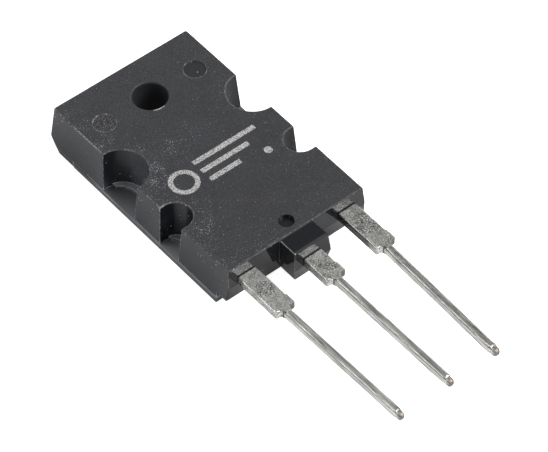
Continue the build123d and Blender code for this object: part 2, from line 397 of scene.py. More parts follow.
scuffs = [
    {"at": (-6.4, -1.7, 0), "radius": 1.5, "strength": 1.1},
    {"at": (-5.4, -7.4, 0), "radius": 2.2, "strength": 1.2},
    {"at": (-5.6, -14.6, 0), "radius": 2.8, "strength": 0.7},
    {"at": (-1.5, -6.0, 0), "radius": 2.8, "strength": 0.6},
]
notches = [
    {"at": (side * x, y, 0), "radius": radius}
    for x, y, radius in ((7.24, -5.17, 2.4), (6.8, -12.05, 1.48))
    for side in (-1, 1)
]


def zoneFront(tree, zones):
    # the front face, and its matte part, which leaves out the smooth right-hand ejector mark
    up = addNode(tree, "Math", [(zones["facing"], "Z"), bodyPlaces["faceUp"]], operation="GREATER_THAN")
    high = addNode(tree, "Math", [(zones["xyz"], "Z"), bodyPlaces["nearFront"]], operation="GREATER_THAN")
    inside = addNode(tree, "Math", [(zones["xyz"], "Y"), bodyPlaces["endY"]], operation="GREATER_THAN")
    rightMark = (bodyPlaces["ejectorMark"], 0, 0)
    away = addNode(tree, "VectorMath", [zones["flat"], rightMark], operation="DISTANCE")
    offMark = addNode(tree, "Math", [away, bodyPlaces["markRadius"]], operation="GREATER_THAN")
    front = addNode(tree, "Math", [up, high], operation="MULTIPLY")
    front = addNode(tree, "Math", [front, inside], operation="MULTIPLY")
    matte = addNode(tree, "Math", [front, offMark], operation="MULTIPLY")
    toHole = addNode(tree, "VectorMath", [zones["flat"]], operation="LENGTH")
    offHole = addNode(tree, "Math", [toHole, bodyPlaces["holeReach"]], operation="GREATER_THAN")
    zones.update(up=up, high=high, inside=inside, front=front, matte=matte, toHole=toHole, offHole=offHole)


def zoneNotches(tree, zones):
    # distance from the nearest notch, and the lit wall of the big one, which is matte
    bitten = None
    for notch in notches:
        away = addNode(tree, "VectorMath", [zones["flat"], notch["at"]], operation="DISTANCE")
        away = addNode(tree, "Math", [away, notch["radius"]], operation="SUBTRACT")
        bitten = addNode(tree, "Math", [bitten, away], operation="MINIMUM") if bitten else away
    inBite = addNode(tree, "MapRange", {"Value": bitten, "From Min": 0.2, "From Max": 0.1})
    lit = addNode(tree, "MapRange", {"Value": (zones["facing"], "X"), "From Min": -0.84, "From Max": -0.93})
    bigBite = addNode(
        tree, "Math", [(zones["xyz"], "Y"), bodyPlaces["bigNotchFrom"]], operation="GREATER_THAN"
    )
    matteWall = addNode(tree, "Math", [lit, inBite], operation="MULTIPLY")
    matteWall = addNode(tree, "Math", [matteWall, bigBite], operation="MULTIPLY")
    zones.update(bitten=bitten, inBite=inBite, matteWall=matteWall)


def zoneScuffs(tree, zones):
    # handling leaves dust along the rim, most on the left, and in a few patches
    look = epoxyLook
    across = addNode(tree, "Math", [(zones["xyz"], "X")], operation="ABSOLUTE")
    across = addNode(tree, "Math", [bodyPlaces["halfWidth"], across], operation="SUBTRACT")
    along = addNode(tree, "Math", [(zones["xyz"], "Y"), bodyPlaces["length"]], operation="ADD")
    rim = addNode(tree, "Math", [across, along], operation="MINIMUM")
    rim = addNode(tree, "Math", [rim, zones["bitten"]], operation="MINIMUM")
    nearRim = addNode(tree, "MapRange", {
        "Value": rim, "From Min": 0, "From Max": 2.8, "To Min": 1, "To Max": 0,
    })
    handled = addNode(tree, "MapRange", {
        "Value": (zones["xyz"], "X"), "From Min": -6, "From Max": 4, "To Min": 0.6, "To Max": 0.15,
    })
    scuffed = addNode(tree, "Math", [nearRim, handled], operation="MULTIPLY")
    for scuff in scuffs:
        away = addNode(tree, "VectorMath", [zones["flat"], scuff["at"]], operation="DISTANCE")
        near = addNode(tree, "MapRange", {
            "Value": away,
            "From Min": scuff["radius"] * look["scuffCore"], "From Max": scuff["radius"],
            "To Min": scuff["strength"], "To Max": 0,
        })
        scuffed = addNode(tree, "Math", [scuffed, near], operation="MAXIMUM")
    patches = addNode(tree, "TexNoise", {
        "Vector": zones["point"], "Scale": look["patches"], "Detail": 4, "Roughness": 0.65,
    })
    patches = addNode(tree, "MapRange", {"Value": patches, "From Min": 0.35, "From Max": 0.6})
    zones["scuffed"] = addNode(tree, "Math", [scuffed, patches], operation="MULTIPLY")


def looseDust(tree, zones):
    # dust held by the grain, and single pale specks of filler and lint on every face but the boss
    look = epoxyLook
    dustLine = addNode(
        tree, "Math", [zones["scuffed"], look["scuffDust"], look["dustFrom"]], operation="MULTIPLY_ADD"
    )
    dust = addNode(tree, "Math", [zones["grit"], dustLine], operation="SUBTRACT")
    dust = addNode(tree, "Math", [dust, look["dustSharpness"]], operation="MULTIPLY", use_clamp=True)
    dust = addNode(tree, "Math", [dust, zones["matte"]], operation="MULTIPLY")
    cells = addNode(tree, "TexVoronoi", {"Vector": zones["point"], "Scale": look["speck"]})
    cellTone = addNode(tree, "SeparateXYZ", [(cells, "Color")])
    rare = addNode(tree, "MapRange", {"Value": (cellTone, "X"), "From Min": 0.6, "From Max": 1})
    reach = addNode(tree, "Mix", [zones["matte"], *look["speckReach"]])
    reach = addNode(tree, "Math", [rare, reach], operation="MULTIPLY")
    speck = addNode(tree, "Math", [reach, (cells, "Distance")], operation="SUBTRACT")
    speck = addNode(tree, "Math", [speck, look["speckSharpness"]], operation="MULTIPLY", use_clamp=True)
    speck = addNode(tree, "Math", [speck, zones["inside"]], operation="MULTIPLY")
    speck = addNode(tree, "Math", [speck, zones["offHole"]], operation="MULTIPLY")
    return addNode(tree, "Math", [dust, speck], operation="MAXIMUM")


def paleLowSidesAndLitWall(tree, zones):
    # paler towards the foot of the sides, most on the left-facing ones, and painted light on the lit wall of
    # the big notch, drawn with the grain
    low = addNode(tree, "MapRange", {
        "Value": (zones["xyz"], "Z"), "From Min": 4.2, "From Max": 0.8, "To Min": 0.03, "To Max": 0.26,
    })
    sideways = addNode(tree, "MapRange", {
        "Value": (zones["facing"], "X"), "From Min": -0.6, "From Max": -0.95, "To Min": 0.2, "To Max": 1,
    })
    tintAndLight = addNode(tree, "Math", [low, sideways], operation="MULTIPLY")
    tintAndLight = addNode(
        tree, "Math", [zones["matteWall"], epoxyLook["wallLight"], tintAndLight], operation="MULTIPLY_ADD"
    )
    grained = addNode(tree, "MapRange", {
        "Value": zones["grit"], "From Min": 0.35, "From Max": 0.65, "To Min": 0.3, "To Max": 1.7,
    })
    tintAndLight = addNode(tree, "Math", [tintAndLight, grained], operation="MULTIPLY")
    return addNode(tree, "Math", [tintAndLight, zones["inside"]], operation="MULTIPLY")


def mouldedGrey(tree, zones):
    # cloudy and grained, with a painted sheen that lightens it towards the hole end
    look = epoxyLook
    clouds = addNode(tree, "TexNoise", {
        "Vector": zones["point"], "Scale": look["clouds"], "Detail": 4, "Roughness": 0.6,
    })
    paintedSheen = addNode(tree, "MapRange", {
        "Value": (zones["xyz"], "Y"), "From Min": -14, "From Max": 4, "To Min": 0, "To Max": 0.16,
    })
    tone = addNode(tree, "Math", [clouds, look["cloudContrast"], paintedSheen], operation="MULTIPLY_ADD")
    tone = addNode(tree, "Math", [zones["scuffed"], look["scuffTone"], tone], operation="MULTIPLY_ADD")
    tone = addNode(tree, "Math", [zones["grit"], look["grainContrast"], tone], operation="MULTIPLY_ADD")
    tone = addNode(tree, "Math", [tone, look["toneOffset"]], operation="SUBTRACT", use_clamp=True)
    greys = []
    for dark, pale in (("smoothDark", "smooth"), ("frontDark", "front")):
        shades = [tone, colour(look[dark]), colour(look[pale])]
        greys.append(addNode(tree, "Mix", shades, data_type="RGBA"))
    tintAndLight = paleLowSidesAndLitWall(tree, zones)
    smoothGrey = addNode(tree, "Mix", [tintAndLight, greys[0], colour(look["tintAndLight"])], data_type="RGBA")
    return addNode(tree, "Mix", [zones["matte"], smoothGrey, greys[1]], data_type="RGBA")


def pittedMark(tree, zones):
    # the left-hand ejector mark is rough and speckled
    look = epoxyLook
    leftMark = (-bodyPlaces["ejectorMark"], 0, 0)
    away = addNode(tree, "VectorMath", [zones["flat"], leftMark], operation="DISTANCE")
    onMark = addNode(tree, "Math", [away, bodyPlaces["markRadius"]], operation="LESS_THAN")
    onMark = addNode(tree, "Math", [onMark, zones["front"]], operation="MULTIPLY")
    pits = addNode(tree, "MapRange", {
        "Value": zones["grit"], "From Min": 0.56, "From Max": 0.65, "To Min": 0, "To Max": 0.5,
    })
    shades = [pits, colour(look["smoothDark"]), colour(look["dust"])]
    return onMark, addNode(tree, "Mix", shades, data_type="RGBA")


def notchLedgeHighlights(tree, zones):
    # up-facing ledges low at the feet of the notches, painted pale as a highlight
    low = addNode(tree, "Math", [(zones["xyz"], "Z"), bodyPlaces["ledgeBelow"]], operation="LESS_THAN")
    return addNode(tree, "Math", [low, zones["up"]], operation="MULTIPLY")


def printedInk(tree, zones):
    # pad-printed ring, bars and dot, thin where the grain stands through them
    ring, dot = markings["ring"], markings["dot"]
    away = addNode(tree, "VectorMath", [zones["flat"], ring["at"]], operation="DISTANCE")
    away = addNode(tree, "Math", [away, ring["radius"]], operation="SUBTRACT")
    away = addNode(tree, "Math", [away], operation="ABSOLUTE")
    ink = addNode(tree, "Math", [away, ring["stroke"] / 2], operation="LESS_THAN")
    away = addNode(tree, "VectorMath", [zones["flat"], dot["at"]], operation="DISTANCE")
    onDot = addNode(tree, "Math", [away, dot["radius"]], operation="LESS_THAN")
    ink = addNode(tree, "Math", [ink, onDot], operation="MAXIMUM")
    for bar in markings["bars"]:
        bands = []
        for axis in (0, 1):
            away = addNode(tree, "Math", [(zones["xyz"], "XY"[axis]), bar["at"][axis]], operation="SUBTRACT")
            away = addNode(tree, "Math", [away], operation="ABSOLUTE")
            bands.append(addNode(tree, "Math", [away, bar["half"][axis]], operation="LESS_THAN"))
        stroke = addNode(tree, "Math", bands, operation="MULTIPLY")
        ink = addNode(tree, "Math", [ink, stroke], operation="MAXIMUM")
    ink = addNode(tree, "Math", [ink, zones["front"]], operation="MULTIPLY")
    return addNode(tree, "Math", [ink, zones["cover"]], operation="MULTIPLY")


def brokenWearAndHighlight(tree, zones):
    # short broken lengths and dots, whole along the plate, next to none at the screw hole and tail mark
    look = epoxyLook
    breaks = addNode(tree, "TexNoise", {
        "Vector": zones["point"], "Scale": look["breaks"], "Detail": 5, "Roughness": 0.8,
    })
    broken = addNode(tree, "MapRange", {
        "Value": breaks, "From Min": 0.45, "From Max": 0.62, "To Min": 0.06, "To Max": 0.7,
    })
    low = addNode(tree, "Math", [(zones["xyz"], "Z"), bodyPlaces["plateBelow"]], operation="LESS_THAN")
    byPlate = addNode(tree, "Math", [(zones["xyz"], "Y"), bodyPlaces["plateFrom"]], operation="LESS_THAN")
    byPlate = addNode(tree, "Math", [low, byPlate], operation="MULTIPLY")
    broken = addNode(tree, "Math", [broken, byPlate], operation="MAXIMUM")
    broken = addNode(tree, "Mix", [zones["offHole"], look["holeWearAndHighlight"], broken])
    away = addNode(tree, "VectorMath", [zones["flat"], bodyPlaces["tailMark"]], operation="DISTANCE")
    offTail = addNode(tree, "MapRange", {"Value": away, "From Min": 0.9, "From Max": 1.0})
    broken = addNode(tree, "Math", [broken, offTail], operation="MULTIPLY")
    for knock in knockedEdges:
        away = addNode(tree, "VectorMath", [zones["point"], knock["at"]], operation="SUBTRACT")
        away = addNode(tree, "VectorMath", [away, knock["reach"]], operation="DIVIDE")
        away = addNode(tree, "VectorMath", [away], operation="LENGTH")
        knocked = addNode(tree, "MapRange", {"Value": away, "From Min": 1.0, "From Max": 0.7})
        knocked = addNode(tree, "Math", [knocked, zones["cover"]], operation="MULTIPLY")
        broken = addNode(tree, "Math", [broken, knocked], operation="MAXIMUM")
    return broken


def chippedLip(tree, zones):
    # one short chip on the lip of the screw hole
    ring = addNode(tree, "MapRange", {"Value": zones["toHole"], "From Min": 1.82, "From Max": 1.76})
    away = addNode(tree, "VectorMath", [zones["flat"], bodyPlaces["chippedLip"]], operation="DISTANCE")
    near = addNode(tree, "MapRange", {
        "Value": away, "From Min": 0.6, "From Max": 0.4, "To Min": 0, "To Max": 0.65,
    })
    chip = addNode(tree, "Math", [ring, near], operation="MULTIPLY")
    chip = addNode(tree, "Math", [chip, zones["cover"]], operation="MULTIPLY")
    return addNode(tree, "Math", [chip, zones["high"]], operation="MULTIPLY")


def rubbedAndHighlitEdges(tree, zones):
    # every edge is painted pale, as rubbed wear and as painted highlight, less on the boss and its dull front
    # lip, and less on the right
    geometry = addNode(tree, "NewGeometry")
    rounded = addNode(tree, "Bevel", {"Radius": epoxyLook["edgeRadius"]}, samples=6)
    square = addNode(tree, "VectorMath", [rounded, (geometry, "Normal")], operation="DOT_PRODUCT")
    edge = addNode(tree, "MapRange", {"Value": square, "From Min": 0.99, "From Max": 0.93})
    lip = bodyPlaces["dullLip"]
    dullLip = addNode(tree, "Math", [(zones["xyz"], "Y"), lip["y"]], operation="LESS_THAN")
    for axis in "XZ":
        past = addNode(tree, "Math", [(zones["xyz"], axis), lip[axis.lower()]], operation="GREATER_THAN")
        dullLip = addNode(tree, "Math", [dullLip, past], operation="MULTIPLY")
    onBoss = addNode(tree, "MapRange", {
        "Value": (zones["xyz"], "Y"), "From Min": -19.45, "From Max": -19.6, "To Min": 1, "To Max": 0.5,
    })
    onLip = addNode(tree, "Mix", [dullLip, *epoxyLook["lipWearAndHighlight"]])
    onRight = addNode(tree, "MapRange", {
        "Value": (zones["xyz"], "X"), "From Min": 3, "From Max": 6, "To Min": 1, "To Max": 0.6,
    })
    wornAndLit = addNode(tree, "Math", [edge, brokenWearAndHighlight(tree, zones)], operation="MULTIPLY")
    for share in (onBoss, onLip, onRight):
        wornAndLit = addNode(tree, "Math", [wornAndLit, share], operation="MULTIPLY")
    zones.update(edge=edge, dullLip=dullLip)
    return addNode(tree, "Math", [wornAndLit, chippedLip(tree, zones)], operation="MAXIMUM")


def mouldRoughness(tree, zones):
    # matte front, smoother sides, and a polished mould at the upper lead end and on the boss
    look = epoxyLook
    xyz = zones["xyz"]
    onBody = addNode(tree, "Math", [(xyz, "Y"), bodyPlaces["topEdgeTo"]], operation="GREATER_THAN")
    topEdge = addNode(tree, "Math", [zones["high"], onBody], operation="MULTIPLY")
    polished = addNode(tree, "Math", [(xyz, "Y"), bodyPlaces["polishedFrom"]], operation="LESS_THAN")
    polished = addNode(tree, "Math", [polished, topEdge], operation="SUBTRACT", use_clamp=True)
    rightBite = addNode(tree, "Math", [(xyz, "X"), 0.0], operation="GREATER_THAN")
    rightBite = addNode(tree, "Math", [rightBite, zones["inBite"]], operation="MULTIPLY")
    shaded = addNode(tree, "Math", [1.0, zones["offHole"]], operation="SUBTRACT")
    shaded = addNode(tree, "Math", [shaded, rightBite], operation="MAXIMUM")
    offTop = addNode(tree, "Math", [1.0, zones["front"]], operation="SUBTRACT")
    shaded = addNode(tree, "Math", [shaded, offTop], operation="MULTIPLY")
    upper = addNode(tree, "MapRange", {"Value": (xyz, "Z"), "From Min": 2.7, "From Max": 2.9})
    endRoughness = addNode(tree, "Mix", [upper, look["sideRoughness"], look["endRoughness"]])
    roughness = look["sideRoughness"]
    for amount, over in (
        (zones["matte"], look["frontRoughness"]),
        (zones["matteWall"], look["frontRoughness"]),
        (shaded, look["shadedRoughness"]),
        (polished, endRoughness),
        (topEdge, look["frontRoughness"]),
        (zones["dullLip"], look["shadedRoughness"]),
    ):
        roughness = addNode(tree, "Mix", [amount, roughness, over])
    return addNode(tree, "Math", [zones["edge"], look["rubRoughness"], roughness], operation="MULTIPLY_ADD")


def makeEpoxy():
    material, tree = newMaterial("epoxy_moulding_compound")
    look = epoxyLook
    zones = findZones(tree)
    zones["grit"] = addNode(tree, "TexNoise", {
        "Vector": zones["point"], "Scale": look["grain"], "Detail": 1, "Roughness": 0.6,
    })
    zones["cover"] = addNode(tree, "MapRange", {  # what the grain leaves of ink and of rubbed spots
        "Value": zones["grit"], "From Min": 0.42, "From Max": 0.5, "To Min": 0.12, "To Max": 1,
    })
    zoneFront(tree, zones)
    zoneNotches(tree, zones)
    zoneScuffs(tree, zones)
    pale = looseDust(tree, zones)
    skin = mouldedGrey(tree, zones)
    for amount, over in (
        (pale, colour(look["dust"])),
        pittedMark(tree, zones),
        (notchLedgeHighlights(tree, zones), colour(look["ledge"])),
        (printedInk(tree, zones), colour(look["ink"])),
        (rubbedAndHighlitEdges(tree, zones), colour(look["rubAndHighlight"])),
    ):
        skin = addNode(tree, "Mix", [amount, skin, over], data_type="RGBA")
    depth = addNode(tree, "Mix", [zones["matte"], *look["grainHeight"]])
    height = addNode(tree, "Math", [zones["grit"], depth], operation="MULTIPLY")
    height = addNode(tree, "Math", [pale, look["dustHeight"], height], operation="MULTIPLY_ADD")
    bump = addNode(
        tree, "Bump", {"Height": height, "Strength": look["bumpStrength"], "Distance": look["bumpDepth"]}
    )
    surface = addNode(tree, "BsdfPrincipled", {
        "Base Color": skin,
        "Roughness": mouldRoughness(tree, zones),
        "IOR": look["ior"],
        "Normal": bump,
    })
    addNode(tree, "OutputMaterial", {"Surface": surface})
    return material


# Hot-dipped tin over stamped copper: dull and cratered on the rolled faces of the leads, smooth
# on the plate, brighter on the sheared sides, with darkened nubs where the tips were cut
tinLook = {
    "bright": "#ebeae6",
    "dull": "#93938f",
    # real tarnish, and also painted shade on the shoulders' sides, the undersides and the dulled ends
    "tarnishAndShade": "#4e4e4b",
    # crater rings, and also painted shade in the shoulders' corners and at the lead roots
    "pitAndShade": "#3a3a37",
    "plate": "#7c7e82",
    "copper": "#77695f",  # shows through at the nubs
    "nubShade": (0.4, 0.8),  # how far, round the nubs and on their ends
    "shearedEdge": "#a2a3a5",
    # low band of the sheared edge: torn metal, and painted shade near the floor
    "tornAndShadedEdge": "#767779",
    "flash": "#5f6063",  # a skin of epoxy over the edge at the hole end
    "grain": 10,  # per mm
    "blotches": 3.2,
    "clouds": 1.3,
    "drawn": (5, 0.35, 5),  # the streaks are drawn out along the pins
    "streaks": 1.2,
    "craters": 2.8,  # cells per mm
    "craterRadius": 0.4,  # of a cell
    "craterDepth": -0.35,
    "clusterEdge": 0.1,  # mm, over which a cluster fades
    "ragged": (0.9, -0.45),  # how the clouds fray the edge of a cluster
    "cloudContrast": 2.0,
    "blotchContrast": 0.3,
    "grainContrast": 3.0,
    "toneOffset": -2.65,
    "toneMiddle": 0.58,
    "mottle": (1.0, 0.25),  # on the shoulders and on the pins
    "drag": (0.4, 2.8),
    # painted shade and dulling at the shoulder ends, necks and tips
    "shadeAndDull": 0.75,
    "dullRoughness": 0.8,
    "nubRoughness": 0.5,
    "leadRoughness": (0.12, 0.2),  # on sheared and on rolled faces
    "plateRoughness": (0.14, 0.34),
    "grainRoughness": 0.24,
    "blotchHeight": 0.8,
    "bumpStrength": 0.8,
    "plateBump": 0.05,  # of the leads' own
    "bumpDepth": 0.05 * mm,
}
craterClusters = [
    {"at": (-5.3, -22.2, 0), "radius": 0.9, "strength": 1},
    {"at": (-0.35, -22.75, 0), "radius": 0.5, "strength": 0.8},
    {"at": (0.2, -23.85, 0), "radius": 0.7, "strength": 1},
    {"at": (5.5, -20.6, 0), "radius": 0.9, "strength": 0.5},
    {"at": (5.5, -22.3, 0), "radius": 1.1, "strength": 0.9},
]
leadPlaces = {  # in mm
    "halfPitch": 2.725,
    "leadFrom": -19.0,
    "pinFrom": -24.8,
    "neckEnd": -24.95,
    "neckTo": -26.0,
    "tipFrom": -38.5,
    "firstTo": -3.0,  # the first lead lies left of this
    "middleWithin": 2.0,
    "corner": (-0.52, -24.72, 3.55),  # from a lead's own axis
    "roots": (-19.79, -21.77),  # where the outer and the middle leads leave the epoxy
    "rightFrom": 0.1,  # from a lead's own axis too
    "edgeBelow": 0.66,
    "tearAt": 0.6,
    "tearWave": 0.3,
}
leadFacings = {  # parts of a normal
    "browZ": 0.5,
    "browLeftX": -0.3,
    "endY": -0.15,
    "tipRightX": 0.08,
    "uprightZ": 0.45,
}


def tinPatterns(tree, zones):
    look = tinLook
    point = zones["point"]
    zones["clouds"] = addNode(tree, "TexNoise", {
        "Vector": point, "Scale": look["clouds"], "Detail": 4, "Roughness": 0.6,
    })
    zones["grain"] = addNode(tree, "TexNoise", {
        "Vector": point, "Scale": look["grain"], "Detail": 2, "Roughness": 0.6,
    })
    zones["blotches"] = addNode(tree, "TexNoise", {
        "Vector": point, "Scale": look["blotches"], "Detail": 2, "Roughness": 0.55,
    })
    drawn = addNode(tree, "Mapping", {
        "Vector": (zones["place"], "Object"), "Scale": tuple(perMm * s for s in look["drawn"]),
    })
    streaks = addNode(tree, "TexNoise", {"Vector": drawn, "Scale": look["streaks"], "Detail": 3})
    zones["streaks"] = addNode(tree, "Math", [streaks, 0.5], operation="SUBTRACT")


def zoneLeads(tree, zones):
    # rolled faces lie flat, and the pins follow the shoulders
    flatness = addNode(tree, "Math", [(zones["facing"], "Z")], operation="ABSOLUTE")
    rolled = addNode(tree, "MapRange", {"Value": flatness, "From Min": 0.55, "From Max": 0.8})
    onLead = addNode(tree, "Math", [(zones["xyz"], "Y"), leadPlaces["leadFrom"]], operation="LESS_THAN")
    onPin = addNode(tree, "Math", [(zones["xyz"], "Y"), leadPlaces["pinFrom"]], operation="LESS_THAN")
    mottle = addNode(tree, "Mix", [onPin, *tinLook["mottle"]])
    span = [(zones["xyz"], "X"), -leadPlaces["halfPitch"], leadPlaces["halfPitch"]]
    fromAxis = addNode(tree, "Math", span, operation="WRAP")
    nub = addNode(tree, "MapRange", {"Value": (zones["xyz"], "Y"), "From Min": -38.85, "From Max": -39.0})
    zones.update(flatness=flatness, rolled=rolled, onLead=onLead, onPin=onPin)
    zones.update(mottle=mottle, fromAxis=fromAxis, nub=nub)


def drossCraters(tree, zones):
    # a dark ring round a bright middle, in clusters on the rolled faces
    look = tinLook
    cells = addNode(tree, "TexVoronoi", {
        "Vector": zones["point"], "Scale": look["craters"], "Randomness": 0.8,
    })
    fromRing = addNode(tree, "Math", [(cells, "Distance"), look["craterRadius"]], operation="SUBTRACT")
    fromRing = addNode(tree, "Math", [fromRing], operation="ABSOLUTE")
    ring = addNode(tree, "MapRange", {
        "Value": fromRing, "From Min": 0.04, "From Max": 0.15, "To Min": 0.7, "To Max": 0,
    })
    middle = addNode(tree, "MapRange", {
        "Value": (cells, "Distance"), "From Min": 0.18, "From Max": 0.28, "To Min": 0.9, "To Max": 0,
    })
    ragged = addNode(tree, "Math", [zones["clouds"], *look["ragged"]], operation="MULTIPLY_ADD")
    inCluster = None
    for cluster in craterClusters:
        away = addNode(tree, "VectorMath", [zones["flat"], cluster["at"]], operation="DISTANCE")
        away = addNode(tree, "Math", [away, ragged], operation="ADD")
        near = addNode(tree, "MapRange", {
            "Value": away,
            "From Min": cluster["radius"] - look["clusterEdge"], "From Max": cluster["radius"],
            "To Min": cluster["strength"], "To Max": 0,
        })
        inCluster = addNode(tree, "Math", [inCluster, near], operation="MAXIMUM") if inCluster else near
    inCluster = addNode(tree, "Math", [inCluster, zones["rolled"]], operation="MULTIPLY")
    return [addNode(tree, "Math", [part, inCluster], operation="MULTIPLY") for part in (ring, middle)]


def tinTone(tree, zones):
    # cloudy on the shoulders, streaked along the pins
    look = tinLook
    drag = addNode(tree, "Mix", [zones["onPin"], *look["drag"]])
    clouds = [zones["clouds"], look["cloudContrast"], look["toneOffset"]]
    tone = addNode(tree, "Math", clouds, operation="MULTIPLY_ADD")
    tone = addNode(tree, "Math", [zones["blotches"], look["blotchContrast"], tone], operation="MULTIPLY_ADD")
    tone = addNode(tree, "Math", [zones["grain"], look["grainContrast"], tone], operation="MULTIPLY_ADD")
    tone = addNode(tree, "Math", [tone, zones["mottle"], look["toneMiddle"]], operation="MULTIPLY_ADD")
    return addNode(tree, "Math", [zones["streaks"], drag, tone], operation="MULTIPLY_ADD", use_clamp=True)


def paintedShadeSides(tree, zones):
    # sides of the two right-hand shoulders are painted dark, as shade, under a bright top edge
    onSide = addNode(tree, "MapRange", {
        "Value": (zones["facing"], "X"), "From Min": -0.75, "From Max": -0.9,
    })
    rightward = addNode(tree, "MapRange", {
        "Value": (zones["xyz"], "X"), "From Min": -3, "From Max": 4, "To Min": 0.45, "To Max": 0.9,
    })
    offFirst = addNode(tree, "Math", [(zones["xyz"], "X"), leadPlaces["firstTo"]], operation="GREATER_THAN")
    offPin = addNode(tree, "MapRange", {
        "Value": (zones["xyz"], "Y"), "From Min": -24.4, "From Max": -23.6,
    })
    dark = addNode(tree, "Math", [rightward, onSide], operation="MULTIPLY")
    dark = addNode(tree, "Math", [dark, offFirst], operation="MULTIPLY")
    return addNode(tree, "Math", [dark, offPin], operation="MULTIPLY")


def pinBrows(tree, zones):
    # a dark line along each pin between its top and its left side
    brow = addNode(tree, "Math", [(zones["facing"], "Z"), leadFacings["browZ"]], operation="SUBTRACT")
    brow = addNode(tree, "Math", [brow], operation="ABSOLUTE")
    brow = addNode(tree, "MapRange", {
        "Value": brow, "From Min": 0.1, "From Max": 0.3, "To Min": 0.75, "To Max": 0,
    })
    leftward = [(zones["facing"], "X"), leadFacings["browLeftX"]]
    leftward = addNode(tree, "Math", leftward, operation="LESS_THAN")
    brow = addNode(tree, "Math", [brow, leftward], operation="MULTIPLY")
    return addNode(tree, "Math", [brow, zones["onPin"]], operation="MULTIPLY")


def agedSpots(tree, zones):
    # the right-hand lead is the most tarnished
    aged = addNode(tree, "MapRange", {
        "Value": (zones["xyz"], "X"), "From Min": 3.5, "From Max": 5.5, "To Min": 0.04, "To Max": 0.4,
    })
    spots = addNode(tree, "MapRange", {"Value": zones["grain"], "From Min": 0.6, "From Max": 0.4})
    aged = addNode(tree, "Math", [aged, spots], operation="MULTIPLY")
    return addNode(tree, "Math", [aged, zones["rolled"]], operation="MULTIPLY")


def shadedShoulderCorners(tree, zones):
    # dark crescents painted as shade in the left-hand corners where the shoulders end
    local = addNode(tree, "CombineXYZ", [zones["fromAxis"], (zones["xyz"], "Y"), (zones["xyz"], "Z")])
    away = addNode(tree, "VectorMath", [local, leadPlaces["corner"]], operation="DISTANCE")
    corner = addNode(tree, "MapRange", {
        "Value": away, "From Min": 0.1, "From Max": 0.17, "To Min": 1, "To Max": 0,
    })
    return addNode(tree, "Math", [corner, zones["rolled"]], operation="MULTIPLY")


def shadedLeadRoots(tree, zones):
    # dark lines painted as shade where the leads leave the epoxy
    middle = addNode(tree, "Math", [(zones["xyz"], "X")], operation="ABSOLUTE")
    middle = addNode(tree, "Math", [middle, leadPlaces["middleWithin"]], operation="LESS_THAN")
    root = addNode(tree, "Mix", [middle, *leadPlaces["roots"]])
    root = addNode(tree, "Math", [(zones["xyz"], "Y"), root], operation="SUBTRACT")
    return addNode(tree, "MapRange", {"Value": root, "From Min": -0.12, "From Max": -0.08})


def paintedShadeAndDulling(tree, zones):
    # undersides, the right-hand ends of the shoulders, the necks and the right of the tips are painted darker
    # as shade; the ends, necks and tips are rougher too
    y = (zones["xyz"], "Y")
    under = addNode(tree, "MapRange", {
        "Value": (zones["facing"], "Z"), "From Min": -0.08, "From Max": -0.5, "To Min": 0, "To Max": 0.85,
    })
    endOn = addNode(tree, "Math", [(zones["facing"], "Y"), leadFacings["endY"]], operation="LESS_THAN")
    rightHalf = addNode(tree, "Math", [zones["fromAxis"], leadPlaces["rightFrom"]], operation="GREATER_THAN")
    onNeck = addNode(tree, "Math", [y, leadPlaces["neckEnd"]], operation="LESS_THAN")
    dulled = addNode(tree, "Math", [rightHalf, onNeck], operation="MAXIMUM")
    nearNeck = addNode(tree, "Math", [y, leadPlaces["neckTo"]], operation="GREATER_THAN")
    stub = addNode(tree, "Math", [endOn, dulled], operation="MULTIPLY")
    stub = addNode(tree, "Math", [stub, nearNeck], operation="MULTIPLY")
    onTip = addNode(tree, "Math", [y, leadPlaces["tipFrom"]], operation="LESS_THAN")
    rightSide = [(zones["facing"], "X"), leadFacings["tipRightX"]]
    rightSide = addNode(tree, "Math", rightSide, operation="GREATER_THAN")
    onTip = addNode(tree, "Math", [onTip, rightSide], operation="MULTIPLY")
    stub = addNode(tree, "Math", [stub, onTip], operation="MAXIMUM")
    zones["stub"] = addNode(tree, "Math", [stub, tinLook["shadeAndDull"]], operation="MULTIPLY")
    shadeAndDull = addNode(tree, "Math", [under, zones["stub"]], operation="MAXIMUM")
    return addNode(tree, "Math", [shadeAndDull, zones["onLead"]], operation="MULTIPLY")


def cutNubs(tree, zones):
    # the nubs at the tips are darkened all over, and most on their cut ends
    endOn = addNode(tree, "MapRange", {"Value": (zones["facing"], "Y"), "From Min": -0.2, "From Max": -0.5})
    cut = addNode(tree, "Math", [zones["nub"], endOn], operation="MULTIPLY")
    cut = addNode(tree, "Mix", [cut, *tinLook["nubShade"]])
    return addNode(tree, "Math", [cut, zones["nub"]], operation="MULTIPLY")


